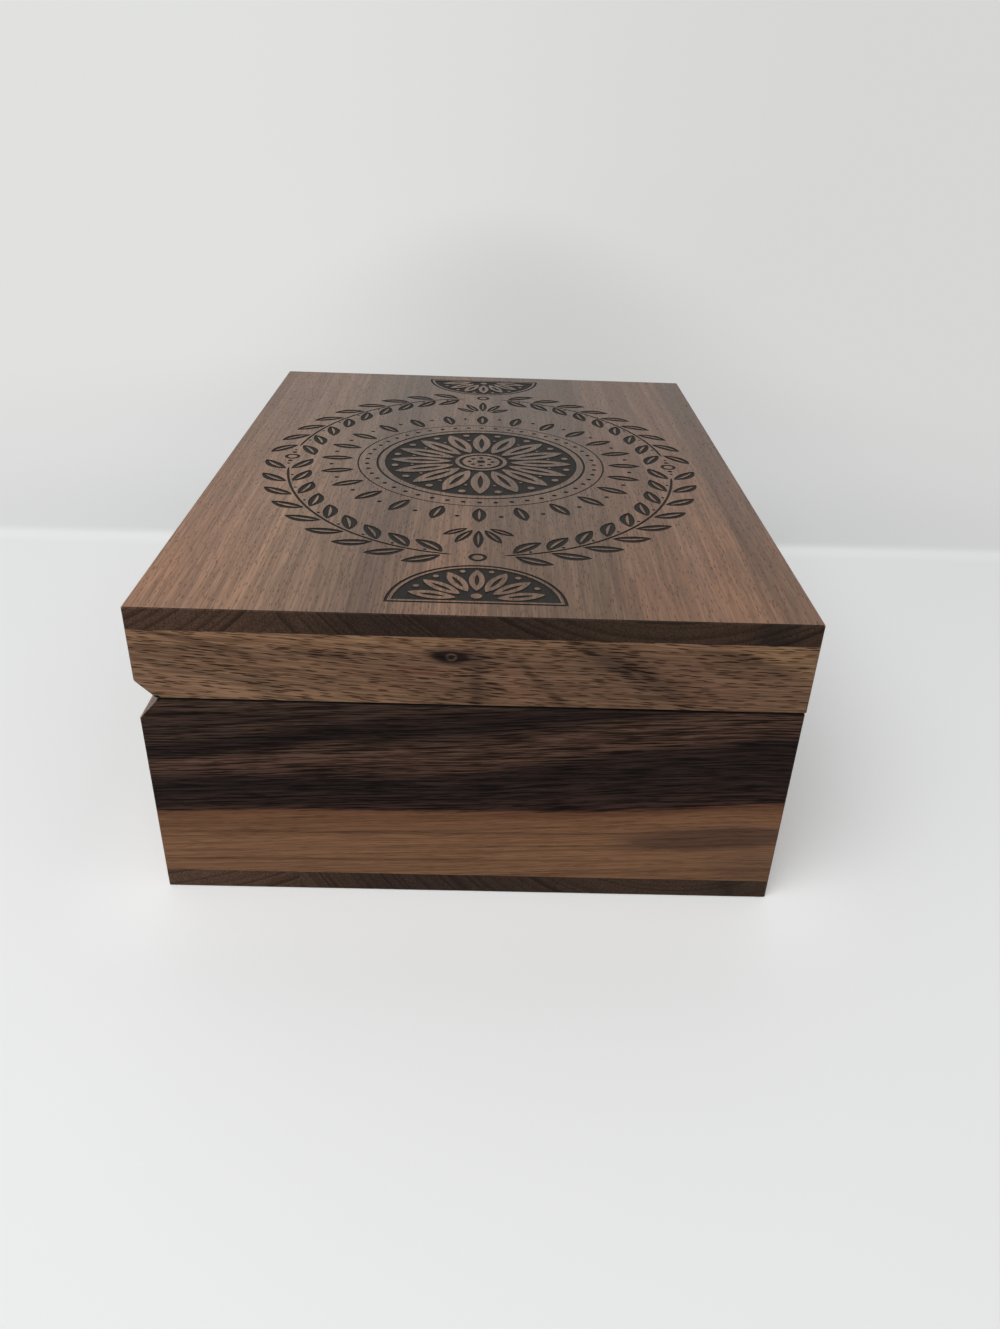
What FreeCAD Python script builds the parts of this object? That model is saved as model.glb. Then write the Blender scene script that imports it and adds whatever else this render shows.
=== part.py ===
import FreeCAD, Part

import os

import Sketcher

# A keepsake box of mitred walnut boards. Its lid turns on two brass butt hinges along the back,
# where base and lid are chamfered to a vee that lets the lid open and then stops it.
# +X is the box's length, -Y its front and +Z up. The origin is on the underside, at its middle.

# Driving dimensions in millimetres: alias, value, what it is
SIZES = [
    ("box_length", 239.0, "outside length, along X"),
    ("box_depth", 177.8, "outside depth, from front to back"),
    ("wall", 12.7, "thickness of every wall and rail"),
    ("base_wall_height", 59.05, "height of the base's walls"),
    ("lid_rail_height", 20.4, "height of the lid's rails"),
    ("bottom_thickness", 6.35, "bottom panel"),
    ("lid_panel_thickness", 6.35, "lid panel"),
    ("seam_gap", 0.25, "gap between the closed lid and the base"),
    ("lid_overhang", 0.3, "how far the lid's front stands out past the base"),
    ("vee_depth", 5.5, "how far the vee along the back reaches in"),
    ("base_vee_drop", 6.3, "height of the vee's face on the base"),
    ("lid_vee_rise", 5.5, "height of the vee's face on the lid"),
    ("corner_round", 0.6, "radius of the upright corners"),
    ("edge_ease", 0.3, "width of the flat sanded on the long edges"),
    ("hinge_inset", 44.5, "from an end of the box to the middle of the hinge near it"),
    ("hinge_length", 30.0, "length of a hinge, along the pin"),
    ("knuckle_count", 5, "knuckles of a hinge, both leaves together"),
    ("knuckle_radius", 2.0, "outside radius of the knuckles"),
    ("knuckle_gap", 0.2, "play between neighbouring knuckles"),
    ("leaf_thickness", 1.2, "thickness of a hinge leaf"),
    ("pin_radius", 0.9, "hinge pin"),
    ("pin_clearance", 0.05, "radial play of the pin in the knuckles"),
    ("relief", 0.3, "room left round the knuckles and the leaves' ends"),
    ("screw_spacing", 18.0, "between the two screws of a leaf"),
    ("screw_head_radius", 1.9, "countersunk head"),
    ("screw_shank_radius", 1.0, "shank"),
    ("screw_length", 9.5, "from the head's top to the tip"),
    ("screw_point", 1.6, "length of the tapered point"),
    ("screw_clearance", 0.05, "play round the screws"),
    ("slot_width", 0.5, "screwdriver slot"),
    ("slot_depth", 0.4, "screwdriver slot"),
]

# Places worked out from the driving dimensions
HALF_LENGTH = "Sizes.box_length / 2"
BACK = "Sizes.box_depth / 2"
BASE_FRONT = "-Sizes.box_depth / 2"
LID_FRONT = "-Sizes.box_depth / 2 - Sizes.lid_overhang"
BASE_TOP = "Sizes.bottom_thickness + Sizes.base_wall_height"
LID_LEVEL = BASE_TOP + " + Sizes.seam_gap"
PANEL_LEVEL = LID_LEVEL + " + Sizes.lid_rail_height"
HINGE_X = "(Sizes.box_length / 2 - Sizes.hinge_inset)"
HINGE_Y = "Sizes.box_depth / 2 - Sizes.vee_depth"
HINGE_Z = BASE_TOP + " + Sizes.seam_gap / 2"
LEAF_REACH = "(Sizes.wall - Sizes.vee_depth)"
SCREW_Y = "((Sizes.wall - Sizes.vee_depth + Sizes.knuckle_radius) / 2)"
MORTISE_DEPTH = "(Sizes.knuckle_radius - Sizes.seam_gap / 2)"
SCREW_TOP = "(Sizes.knuckle_radius - Sizes.leaf_thickness)"

doc = FreeCAD.newDocument("keepsake_box")
sheet = doc.addObject("Spreadsheet::Sheet", "Sizes")
for row, (alias, value, note) in enumerate(SIZES, start=1):
    sheet.set(f"A{row}", alias)
    sheet.set(f"B{row}", str(value))
    sheet.set(f"C{row}", note)
    sheet.setAlias(f"B{row}", alias)
doc.recompute()

parts = []
TINY = 1e-6


def new_body(label, x="0", y="0", z="0", turned=False):
    """A body with its own label, placed by expressions and turned upside down about X if asked."""
    body = doc.addObject("PartDesign::Body", label)
    body.Label = label
    if turned:
        body.Placement = FreeCAD.Placement(
            FreeCAD.Vector(), FreeCAD.Rotation(FreeCAD.Vector(1, 0, 0), 180)
        )
    for axis, place in (("x", x), ("y", y), ("z", z)):
        body.setExpression(f"Placement.Base.{axis}", place)
    parts.append(body)
    return body


def origin_feature(body, role):
    return next(item for item in body.Origin.OriginFeatures if item.Role == role)


def new_sketch(body, name, plane, lift="0"):
    """A sketch on one of the body's origin planes, lifted along the plane's normal."""
    sketch = body.newObject("Sketcher::SketchObject", name)
    sketch.AttachmentSupport = [(origin_feature(body, plane), "")]
    sketch.MapMode = "FlatFace"
    sketch.setExpression("AttachmentOffset.Base.z", lift)
    return sketch


def number(text):
    """The present value of an expression, which places a sketch's geometry before it is solved."""
    return float(sheet.evalExpression(text))


def bind(sketch, kind, *references, to):
    index = sketch.addConstraint(Sketcher.Constraint(kind, *references, number(to)))
    sketch.setExpression(f"Constraints[{index}]", to)


def pin_point(sketch, geometry, end, x=None, y=None):
    """Ties a point to the sketch's origin by dimensions along its axes."""
    for kind, text in (("DistanceX", x), ("DistanceY", y)):
        if text is not None:
            bind(sketch, kind, -1, 1, geometry, end, to=text)


def vector(x, y):
    return FreeCAD.Vector(number(x), number(y), 0)


def draw_polygon(sketch, corners):
    """A closed outline whose corners are pairs of expressions."""
    first = sketch.GeometryCount
    count = len(corners)
    for index, corner in enumerate(corners):
        following = corners[(index + 1) % count]
        sketch.addGeometry(Part.LineSegment(vector(*corner), vector(*following)))
    for index, (x, y) in enumerate(corners):
        line, following = first + index, first + (index + 1) % count
        sketch.addConstraint(Sketcher.Constraint("Coincident", line, 2, following, 1))
        pin_point(sketch, line, 1, x, y)


def draw_rectangle(sketch, x_low, x_high, y_low, y_high):
    draw_polygon(sketch, [(x_low, y_low), (x_high, y_low), (x_high, y_high), (x_low, y_high)])


def draw_circle(sketch, x, y, radius):
    circle = sketch.addGeometry(
        Part.Circle(vector(x, y), FreeCAD.Vector(0, 0, 1), number(radius))
    )
    pin_point(sketch, circle, 3, x, y)
    bind(sketch, "Radius", circle, to=radius)


def pad(body, name, sketch, length, symmetric=False):
    feature = body.newObject("PartDesign::Pad", name)
    feature.Profile = sketch
    feature.SideType = "Symmetric" if symmetric else "One side"
    feature.setExpression("Length", length)
    doc.recompute()
    return feature


def check_cut(body, before):
    if body.Shape.Volume > before - TINY:
        raise RuntimeError(f"{body.Label}: {body.Tip.Name} removed nothing")


def pocket_through(body, name, sketch):
    """Cuts a sketch through everything, to both sides of its plane."""
    before = body.Shape.Volume
    feature = body.newObject("PartDesign::Pocket", name)
    feature.Profile = sketch
    feature.SideType = "Symmetric"
    feature.Type = "ThroughAll"
    doc.recompute()
    check_cut(body, before)
    return feature


def pocket(body, name, sketch, depth, upwards):
    """Cuts a sketch to a depth, against its normal or, upwards, along it."""
    before = body.Shape.Volume
    feature = body.newObject("PartDesign::Pocket", name)
    feature.Profile = sketch
    feature.Reversed = upwards
    feature.setExpression("Length", depth)
    doc.recompute()
    check_cut(body, before)
    return feature


def mirror_across(body, name, originals):
    """Repeats cuts on the other side of the body's YZ plane."""
    before = body.Shape.Volume
    feature = body.newObject("PartDesign::Mirrored", name)
    feature.Originals = originals
    feature.MirrorPlane = (origin_feature(body, "YZ_Plane"), [""])
    body.Tip = feature
    doc.recompute()
    check_cut(body, before)
    return feature


def dress_edges(body, kind, name, chosen, size, size_property):
    """A fillet or chamfer on the edges that a test picks out of the body as it stands."""
    base = body.Tip
    names = [
        f"Edge{index}" for index, edge in enumerate(base.Shape.Edges, start=1) if chosen(edge)
    ]
    if not names:
        raise RuntimeError(f"{body.Label}: {name} found no edge")
    feature = body.newObject(kind, name)
    feature.Base = (base, names)
    feature.setExpression(size_property, size)
    doc.recompute()
    return feature


def round_edges(body, name, chosen, radius):
    return dress_edges(body, "PartDesign::Fillet", name, chosen, radius, "Radius")


def chamfer_edges(body, name, chosen, size):
    return dress_edges(body, "PartDesign::Chamfer", name, chosen, size, "Size")


def is_upright(edge):
    box = edge.BoundBox
    return box.ZLength > TINY and box.XLength < TINY and box.YLength < TINY


def lies_at(edge, level):
    """True for an edge that lies flat at that height in its body."""
    box = edge.BoundBox
    return abs(box.ZMin - level) < TINY and abs(box.ZMax - level) < TINY


def is_round(edge):
    return isinstance(edge.Curve, Part.Circle)


def make_panel(label, front, thickness, level, eased_level):
    """A flat board over the whole plan, with its corners rounded and the edges of one face eased."""
    body = new_body(label, z=level)
    plan = new_sketch(body, label + "_plan", "XY_Plane")
    draw_rectangle(plan, "-" + HALF_LENGTH, HALF_LENGTH, front, BACK)
    pad(body, label + "_board", plan, thickness)
    round_edges(body, label + "_corners", is_upright, "Sizes.corner_round")
    height = number(eased_level)
    chamfer_edges(body, label + "_ease", lambda edge: lies_at(edge, height), "Sizes.edge_ease")
    return body


# The four sides of a frame, counterclockwise: the way the side runs, and the way to the inside
SIDES = {
    "front": ((1, 0), (0, 1)),
    "right": ((0, 1), (-1, 0)),
    "back": ((-1, 0), (0, -1)),
    "left": ((0, -1), (1, 0)),
}
MITRE_TIP = "Sizes.corner_round * (1 - cos(45 deg))"


def frame_tips(side, front):
    """The sharp outer corners between which a side of the frame runs."""
    low, high = "-" + HALF_LENGTH, HALF_LENGTH
    corners = [(low, front), (high, front), (high, BACK), (low, BACK)]
    first = list(SIDES).index(side)
    return corners[first], corners[(first + 1) % 4]


def shift(point, direction, distance):
    """A point moved along a direction of whole numbers, all as expressions."""
    return tuple(f"{place} + ({step}) * ({distance})" for place, step in zip(point, direction))


def draw_mitred_plan(sketch, side, front):
    """A board seen from above: mitred at both ends, with its outer tips rounded."""
    along, inward = SIDES[side]
    start, end = frame_tips(side, front)
    from_start = (along[0] + inward[0], along[1] + inward[1])
    from_end = (inward[0] - along[0], inward[1] - along[1])
    backwards = (-along[0], -along[1])
    points = [
        shift(start, along, "Sizes.corner_round"),
        shift(end, backwards, "Sizes.corner_round"),
        shift(end, from_end, MITRE_TIP),
        shift(end, from_end, "Sizes.wall"),
        shift(start, from_start, "Sizes.wall"),
        shift(start, from_start, MITRE_TIP),
    ]
    centres = {
        1: shift(end, from_end, "Sizes.corner_round"),
        5: shift(start, from_start, "Sizes.corner_round"),
    }
    places = [vector(*point) for point in points]
    for index, place in enumerate(places):
        following = places[(index + 1) % len(places)]
        if index in centres:
            centre = vector(*centres[index])
            middle = (place + following) / 2 - centre
            crown = centre + middle.normalize() * number("Sizes.corner_round")
            sketch.addGeometry(Part.Arc(place, crown, following))
        else:
            sketch.addGeometry(Part.LineSegment(place, following))
    for index, (x, y) in enumerate(points):
        following = (index + 1) % len(points)
        sketch.addConstraint(Sketcher.Constraint("Coincident", index, 2, following, 1))
        pin_point(sketch, index, 1, x, y)
    for index in centres:
        bind(sketch, "Radius", index, to="Sizes.corner_round")


def cut_vee(body, level, rise):
    """Chamfers the back edge at a level. The face climbs by rise, or falls where rise is negative."""
    outside = "Sizes.box_depth / 2 + Sizes.wall"
    beyond = f"{level} - ({rise})"
    profile = new_sketch(body, body.Label + "_vee_profile", "YZ_Plane")
    corners = [
        (HINGE_Y, level),
        (HINGE_Y, beyond),
        (outside, beyond),
        (outside, f"{level} + ({rise})"),
        (BACK, f"{level} + ({rise})"),
    ]
    draw_polygon(profile, corners)
    pocket_through(body, body.Label + "_vee", profile)


def make_board(label, side, front, height, level, seam, vee_rise):
    """One mitred board of a frame. Its edge at the seam is eased, or cut to the vee at the back."""
    body = new_body(label, z=level)
    plan = new_sketch(body, label + "_plan", "XY_Plane")
    draw_mitred_plan(plan, side, front)
    pad(body, label + "_board", plan, height)
    if side != "front":
        cut_vee(body, seam, vee_rise)
    if side != "back":
        ease_rim(body, seam)
    return body


def ease_rim(body, level):
    """Eases a board's outer edge at a level, and leaves its inner edge and its mitres sharp."""
    height = number(level)
    side_middle = number(f"{HALF_LENGTH} - Sizes.wall / 2")
    front_middle = number(f"{BASE_FRONT} + Sizes.wall / 2")

    def on_outer_rim(edge):
        box = edge.BoundBox
        on_side = box.XLength < TINY and abs(box.Center.x) > side_middle
        on_front = box.YLength < TINY and box.Center.y < front_middle
        return lies_at(edge, height) and (on_side or on_front or is_round(edge))

    chamfer_edges(body, body.Label + "_seam_ease", on_outer_rim, "Sizes.edge_ease")


def cut_hinge_seats(body, seam, upwards):
    """Two mortises for the leaves, deeper under the knuckles, with pilot holes, in a back board."""
    label = body.Label
    half = "Sizes.hinge_length / 2 + Sizes.relief"
    low, high = f"{HINGE_X} - ({half})", f"{HINGE_X} + {half}"
    outside = "Sizes.box_depth / 2 + Sizes.wall"
    inside = "Sizes.box_depth / 2 - 2 * Sizes.wall"

    seat = new_sketch(body, label + "_seat_plan", "XY_Plane", seam)
    draw_rectangle(seat, low, high, inside, outside)
    mortise = pocket(body, label + "_mortise", seat, MORTISE_DEPTH, upwards)

    room = new_sketch(body, label + "_knuckle_plan", "XY_Plane", seam)
    knuckle_edge = f"{HINGE_Y} - Sizes.knuckle_radius - Sizes.relief"
    draw_rectangle(room, low, high, knuckle_edge, outside)
    relief = pocket(body, label + "_relief", room, MORTISE_DEPTH + " + Sizes.relief", upwards)

    pilots = new_sketch(body, label + "_pilot_plan", "XY_Plane", seam)
    for sign in "-+":
        place = f"{HINGE_X} {sign} Sizes.screw_spacing / 2"
        radius = "Sizes.screw_shank_radius + Sizes.screw_clearance"
        draw_circle(pilots, place, f"{HINGE_Y} - {SCREW_Y}", radius)
    depth = f"{SCREW_TOP} + Sizes.screw_length + Sizes.relief"
    holes = pocket(body, label + "_pilots", pilots, depth, upwards)

    mirror_across(body, label + "_other_seat", [mortise, relief, holes])


def draw_leaf_profile(sketch, side):
    """A leaf seen along the pin: a plate that runs into the knuckle, below the pin or above it."""
    reach = number(LEAF_REACH)
    radius = number("Sizes.knuckle_radius")
    inner = radius - number("Sizes.leaf_thickness")
    meet = FreeCAD.Vector(-((radius**2 - inner**2) ** 0.5), side * inner, 0)
    tangent = FreeCAD.Vector(0, side * radius, 0)
    outer_end = FreeCAD.Vector(-reach, side * radius, 0)
    inner_end = FreeCAD.Vector(-reach, side * inner, 0)
    crown = FreeCAD.Vector(radius, 0, 0)
    sketch.addGeometry(Part.LineSegment(outer_end, tangent))
    sketch.addGeometry(Part.LineSegment(meet, inner_end))
    sketch.addGeometry(Part.LineSegment(inner_end, outer_end))
    knuckle = sketch.addGeometry(Part.Arc(tangent, crown, meet))
    # an arc always runs counterclockwise, so its ends swap with the side
    at_tangent, at_meet = (1, 2) if side < 0 else (2, 1)
    for joined in (
        (0, 2, knuckle, at_tangent),
        (1, 1, knuckle, at_meet),
        (1, 2, 2, 1),
        (2, 2, 0, 1),
        (knuckle, 3, -1, 1),
    ):
        sketch.addConstraint(Sketcher.Constraint("Coincident", *joined))
    bind(sketch, "Radius", knuckle, to="Sizes.knuckle_radius")
    pin_point(sketch, 0, 2, x="0")
    pin_point(sketch, 2, 1, x="-" + LEAF_REACH, y=f"({side}) * {SCREW_TOP}")
    pin_point(sketch, 2, 2, x="-" + LEAF_REACH, y=f"({side}) * Sizes.knuckle_radius")
    pin_point(sketch, 1, 1, y=f"({side}) * {SCREW_TOP}")
    draw_circle(sketch, "0", "0", "Sizes.pin_radius + Sizes.pin_clearance")


def make_leaf(label, x, side, first_knuckle):
    """A hinge leaf about the pin's line. It has every other knuckle from the first, counted from 0."""
    body = new_body(label, x=x, y=HINGE_Y, z=HINGE_Z)
    profile = new_sketch(body, label + "_profile", "YZ_Plane")
    draw_leaf_profile(profile, side)
    pad(body, label + "_plate", profile, "Sizes.hinge_length", symmetric=True)

    gaps = new_sketch(body, label + "_gaps", "XY_Plane")
    count = round(number("Sizes.knuckle_count"))
    edge = "Sizes.knuckle_radius + Sizes.relief"
    for index in range(1 - first_knuckle, count, 2):
        start = f"Sizes.hinge_length * ({index} / Sizes.knuckle_count - 0.5)"
        end = f"Sizes.hinge_length * ({index + 1} / Sizes.knuckle_count - 0.5)"
        # the end knuckles' gaps run out past the leaf's ends
        before = "Sizes.hinge_length" if index == 0 else "Sizes.knuckle_gap / 2"
        after = "Sizes.hinge_length" if index + 1 == count else "Sizes.knuckle_gap / 2"
        draw_rectangle(gaps, f"{start} - {before}", f"{end} + {after}", f"-({edge})", edge)
    pocket_through(body, label + "_knuckles", gaps)

    holes = new_sketch(body, label + "_hole_plan", "XY_Plane")
    hole_radius = "Sizes.screw_shank_radius + Sizes.screw_clearance"
    for sign in "-+":
        draw_circle(holes, f"{sign}Sizes.screw_spacing / 2", "-" + SCREW_Y, hole_radius)
    pocket_through(body, label + "_holes", holes)

    inner = side * number(SCREW_TOP)

    def is_hole_rim(edge):
        return is_round(edge) and lies_at(edge, inner)

    sink = "Sizes.screw_head_radius - Sizes.screw_shank_radius"
    chamfer_edges(body, label + "_sinks", is_hole_rim, sink)
    return body


def make_pin(label, x):
    """A pin through the knuckles, with its ends just broken."""
    body = new_body(label, x=x, y=HINGE_Y, z=HINGE_Z)
    section = new_sketch(body, label + "_section", "YZ_Plane")
    draw_circle(section, "0", "0", "Sizes.pin_radius")
    pad(body, label + "_rod", section, "Sizes.hinge_length", symmetric=True)
    chamfer_edges(body, label + "_ends", is_round, "Sizes.pin_radius / 4")
    return body


def make_screws(label, x, turned):
    """The two slotted countersunk screws of a leaf, heads up, or heads down in the lid."""
    side = "+" if turned else "-"
    body = new_body(
        label,
        x=f"{x} - Sizes.screw_spacing / 2",
        y=f"{HINGE_Y} - {SCREW_Y}",
        z=f"{HINGE_Z} {side} {SCREW_TOP}",
        turned=turned,
    )
    profile = new_sketch(body, label + "_profile", "XZ_Plane")
    head_height = "(Sizes.screw_head_radius - Sizes.screw_shank_radius)"
    corners = [
        ("0", "0"),
        ("0", "-Sizes.screw_length"),
        ("Sizes.screw_shank_radius", "-Sizes.screw_length + Sizes.screw_point"),
        ("Sizes.screw_shank_radius", "-" + head_height),
        ("Sizes.screw_head_radius", "0"),
    ]
    draw_polygon(profile, corners)
    turning = body.newObject("PartDesign::Revolution", label + "_turned")
    turning.Profile = profile
    turning.ReferenceAxis = (profile, ["V_Axis"])
    turning.Angle = 360
    doc.recompute()

    slot = new_sketch(body, label + "_slot_plan", "XY_Plane")
    beyond, half = "2 * Sizes.screw_head_radius", "Sizes.slot_width / 2"
    draw_rectangle(slot, f"-{beyond}", beyond, f"-{half}", half)
    cut = pocket(body, label + "_slot", slot, "Sizes.slot_depth", False)

    pair = body.newObject("PartDesign::LinearPattern", label + "_pair")
    pair.Originals = [turning, cut]
    pair.Direction = (origin_feature(body, "X_Axis"), [""])
    pair.Occurrences = 2
    pair.setExpression("Length", "Sizes.screw_spacing")
    body.Tip = pair
    doc.recompute()
    return body


def make_hinge(side, x):
    """One hinge: a leaf in the base, a leaf in the lid, the pin and the four screws."""
    make_leaf(f"{side}_hinge_base_leaf", x, side=-1, first_knuckle=0)
    make_leaf(f"{side}_hinge_lid_leaf", x, side=1, first_knuckle=1)
    make_pin(f"{side}_hinge_pin", x)
    make_screws(f"{side}_hinge_base_screws", x, turned=False)
    make_screws(f"{side}_hinge_lid_screws", x, turned=True)


def make_base():
    make_panel("bottom_panel", BASE_FRONT, "Sizes.bottom_thickness", "0", "0")
    for side in SIDES:
        board = make_board(
            f"base_{side}_wall",
            side,
            BASE_FRONT,
            "Sizes.base_wall_height",
            "Sizes.bottom_thickness",
            seam="Sizes.base_wall_height",
            vee_rise="-Sizes.base_vee_drop",
        )
        if side == "back":
            cut_hinge_seats(board, "Sizes.base_wall_height", upwards=False)


def make_lid():
    for side in SIDES:
        board = make_board(
            f"lid_{side}_rail",
            side,
            LID_FRONT,
            "Sizes.lid_rail_height",
            LID_LEVEL,
            seam="0",
            vee_rise="Sizes.lid_vee_rise",
        )
        if side == "back":
            cut_hinge_seats(board, "0", upwards=True)
    make_panel(
        "lid_panel",
        LID_FRONT,
        "Sizes.lid_panel_thickness",
        PANEL_LEVEL,
        "Sizes.lid_panel_thickness",
    )


def check_model():
    """Stops before anything is written if a feature failed or a part isn't sound."""
    for item in doc.Objects:
        if "Invalid" in item.State or "Error" in item.State:
            raise RuntimeError(f"{item.Label} failed: {item.State}")
    for part in parts:
        if part.Shape.isNull() or not part.Shape.isValid() or not part.Shape.Solids:
            raise RuntimeError(f"{part.Label} has no sound shape")


make_base()
make_lid()
make_hinge("left", "-" + HINGE_X)
make_hinge("right", HINGE_X)
doc.recompute()
check_model()

os.makedirs("parts", exist_ok=True)
for part in parts:
    part.Shape.exportStep(f"parts/{part.Label}.step")
    box = part.Shape.BoundBox
    print(f"{part.Label}: {part.Shape.Volume:.1f} mm3, z {box.ZMin:.2f} to {box.ZMax:.2f}")
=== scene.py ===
import math

import bmesh
import bpy
from mathutils import Matrix, Vector


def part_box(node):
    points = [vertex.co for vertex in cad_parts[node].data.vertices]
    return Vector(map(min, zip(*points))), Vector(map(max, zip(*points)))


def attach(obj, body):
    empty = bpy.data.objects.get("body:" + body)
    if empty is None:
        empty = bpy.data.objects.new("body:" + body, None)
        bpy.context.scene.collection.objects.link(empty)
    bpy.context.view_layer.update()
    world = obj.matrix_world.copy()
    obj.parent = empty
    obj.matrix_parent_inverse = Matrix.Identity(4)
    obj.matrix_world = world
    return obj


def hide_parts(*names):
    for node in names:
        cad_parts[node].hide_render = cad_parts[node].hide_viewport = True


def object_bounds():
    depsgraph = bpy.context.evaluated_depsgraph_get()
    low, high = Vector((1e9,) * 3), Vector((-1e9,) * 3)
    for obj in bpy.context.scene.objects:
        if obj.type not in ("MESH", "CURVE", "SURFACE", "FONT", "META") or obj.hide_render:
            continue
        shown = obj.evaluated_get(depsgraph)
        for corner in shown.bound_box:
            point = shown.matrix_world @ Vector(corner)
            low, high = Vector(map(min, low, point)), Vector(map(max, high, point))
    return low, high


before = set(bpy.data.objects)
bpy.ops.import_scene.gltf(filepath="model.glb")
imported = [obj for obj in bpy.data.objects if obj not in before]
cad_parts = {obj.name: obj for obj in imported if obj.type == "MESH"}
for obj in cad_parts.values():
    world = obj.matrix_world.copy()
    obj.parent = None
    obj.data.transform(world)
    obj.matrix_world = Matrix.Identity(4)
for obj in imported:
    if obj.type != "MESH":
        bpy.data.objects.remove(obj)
cadBox = [list(corner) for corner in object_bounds()]
print("frame loaded:", len(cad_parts), "nodes")


# small helpers for nodes and colours

def fromScreen(colour, lift=1.0):
    # a 0 to 255 screen colour as the linear colour that a shader takes
    parts = []
    for value in colour:
        part = value / 255
        part = part / 12.92 if part <= 0.04045 else ((part + 0.055) / 1.055) ** 2.4
        parts.append(min(part * lift, 1.0))
    return (*parts, 1.0)


def addNode(tree, kind, values=None, **options):
    node = tree.nodes.new("ShaderNode" + kind)
    for name, value in options.items():
        setattr(node, name, value)
    for name, value in (values or {}).items():
        if isinstance(value, bpy.types.NodeSocket):
            tree.links.new(value, node.inputs[name])
        else:
            node.inputs[name].default_value = value
    return node


def calc(tree, operation, first, second=0.0, third=0.0, clamp=False):
    node = addNode(tree, "Math", {0: first, 1: second, 2: third}, operation=operation)
    node.use_clamp = clamp
    return node.outputs[0]


def calcVector(tree, operation, first, second=None, scale=None):
    values = {0: first}
    if second is not None:
        values[1] = second
    if scale is not None:
        values["Scale"] = scale
    node = addNode(tree, "VectorMath", values, operation=operation)
    return node.outputs["Value" if operation in ("LENGTH", "DISTANCE", "DOT_PRODUCT") else "Vector"]


def spread(tree, value, fromLow, fromHigh, toLow=0.0, toHigh=1.0, smooth=True):
    values = {0: value, 1: fromLow, 2: fromHigh, 3: toLow, 4: toHigh}
    kind = "SMOOTHSTEP" if smooth else "LINEAR"
    return addNode(tree, "MapRange", values, interpolation_type=kind).outputs[0]


def noise(tree, board, size, detail=2.0, roughness=0.5, offset=(0, 0, 0)):
    # size is one wave of the noise in millimetres along each axis
    near = calcVector(tree, "ADD", board, offset)
    near = calcVector(tree, "MULTIPLY", near, tuple(1 / part for part in size))
    values = {"Vector": near, "Scale": 1.0, "Detail": detail, "Roughness": roughness}
    return addNode(tree, "TexNoise", values, noise_dimensions="3D")


def newGroup(name, inputs, outputs):
    tree = bpy.data.node_groups.new(name, "ShaderNodeTree")
    for label, start in inputs.items():
        kind = "NodeSocketFloat"
        if isinstance(start, tuple):
            kind = "NodeSocketColor" if len(start) == 4 else "NodeSocketVector"
        socket = tree.interface.new_socket(label, in_out="INPUT", socket_type=kind)
        socket.default_value = start
    for label, kind in outputs.items():
        tree.interface.new_socket(label, in_out="OUTPUT", socket_type="NodeSocket" + kind)
    return tree, tree.nodes.new("NodeGroupInput").outputs, tree.nodes.new("NodeGroupOutput")


def useGroup(tree, group, values):
    return addNode(tree, "Group", values, node_tree=group).outputs


def splitParts(tree, place):
    return addNode(tree, "SeparateXYZ", {0: place}).outputs


def joinParts(tree, x, y, z):
    return addNode(tree, "CombineXYZ", {0: x, 1: y, 2: z}).outputs[0]


def mixColours(tree, share, first, second):
    return addNode(tree, "Mix", {0: share, 6: first, 7: second}, data_type="RGBA").outputs[2]


def addSurface(tree, output, values, height, strength, distance):
    # the surface shader with a bump, straight into the material's output
    bump = {"Height": height, "Strength": strength, "Distance": distance}
    normal = addNode(tree, "Bump", bump).outputs[0]
    surface = addNode(tree, "BsdfPrincipled", {**values, "Normal": normal})
    tree.links.new(surface.outputs[0], output.inputs["Surface"])


def millimetres(tree):
    place = addNode(tree, "TexCoord").outputs["Object"]
    return calcVector(tree, "SCALE", place, scale=1000.0)


def newMaterial(name):
    material = bpy.data.materials.new(name)
    material.use_nodes = True
    tree = material.node_tree
    tree.nodes.clear()
    return material, tree, addNode(tree, "OutputMaterial")


# camera

cameraPlace = {
    "location": (-0.3421, -0.0014, 0.2078),
    "yaw": 1.37,
    "pitch": 30.13,
    "roll": 2.14,
    "lens": 26.92,
}


def makeCamera():
    data = bpy.data.cameras.new("camera")
    data.lens = cameraPlace["lens"]
    data.clip_start = 0.01
    camera = bpy.data.objects.new("camera", data)
    bpy.context.scene.collection.objects.link(camera)
    turn = Matrix.Rotation(-math.radians(90 + cameraPlace["yaw"]), 4, "Z")
    tip = Matrix.Rotation(math.radians(90 - cameraPlace["pitch"]), 4, "X")
    roll = Matrix.Rotation(math.radians(cameraPlace["roll"]), 4, "Z")
    camera.matrix_world = Matrix.Translation(cameraPlace["location"]) @ turn @ tip @ roll
    bpy.context.scene.camera = camera


makeCamera()
bpy.context.scene.view_settings.view_transform = "Standard"
print("camera placed")


# floor, backdrop and light

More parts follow.
